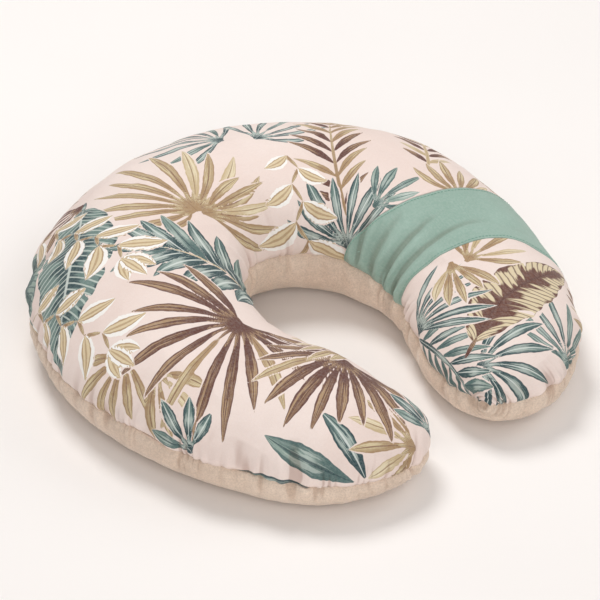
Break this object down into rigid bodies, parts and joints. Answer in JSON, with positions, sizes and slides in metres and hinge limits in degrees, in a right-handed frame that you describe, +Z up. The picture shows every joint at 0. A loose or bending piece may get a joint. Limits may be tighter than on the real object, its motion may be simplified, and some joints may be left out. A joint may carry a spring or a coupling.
{
  "type": "nursing pillow",
  "caption": "Crescent-shaped nursing pillow: printed front with a plain accent band, plush back, zipped cover over a fibre-filled inner pillow.",
  "frame": {"origin": "middle of the bounding box on the resting plane, in the hollow just inside the crown's arc", "axes": "+Z up off the resting plane, +Y towards the crown, -Y towards the opening between the two tips, +X towards the arm with the accent band"},
  "size_m": [0.499, 0.4926, 0.1322],
  "materials": {
    "printed_cotton": "matt printed cotton",
    "accent_cotton": "matt plain cotton",
    "back_velour": "soft short-pile plush",
    "accent_thread": "polyester thread",
    "seam_thread": "polyester thread",
    "zip_tape": "woven tape",
    "zip_coil": "nylon coil",
    "zip_metal": "satin enamel",
    "label_satin": "satin ribbon",
    "insert_casing": "spun white casing",
    "fibre_fill": "loose fibre"
  },
  "bodies": {
    "cover": {"front_panel_long": "printed_cotton", "accent_band": "accent_cotton", "front_panel_short": "printed_cotton", "back_panel": "back_velour", "band_topstitching": "accent_thread", "perimeter_seam_thread": "seam_thread", "zip_tape_upper": "zip_tape", "zip_tape_lower": "zip_tape", "zip_coil_upper": "zip_coil", "zip_coil_lower": "zip_coil", "zip_top_stops": "zip_metal", "zip_bottom_stop": "zip_metal", "care_label": "label_satin", "insert_casing_front": "insert_casing", "insert_casing_back": "insert_casing", "insert_seam_thread": "seam_thread", "insert_closing_stitches": "seam_thread", "insert_fibre_fill": "fibre_fill"},
    "slider": {"zip_slider_body": "zip_metal", "zip_slider_bail": "zip_metal"},
    "pull_tab": {"zip_pull_tab": "zip_metal"}
  },
  "joints": [
    {"name": "slider_travel", "type": "hinge", "parent": "cover", "child": "slider", "pos_m": [0, -0.0088, 0.044], "axis": [0, 0, 1], "range_deg": [0, 78]},
    {"name": "pull_tab_swing", "type": "hinge", "parent": "slider", "child": "pull_tab", "pos_m": [0.16322, 0.1892, 0.044], "axis": [0, 0, 1], "range_deg": [-170, 0]}
  ]
}
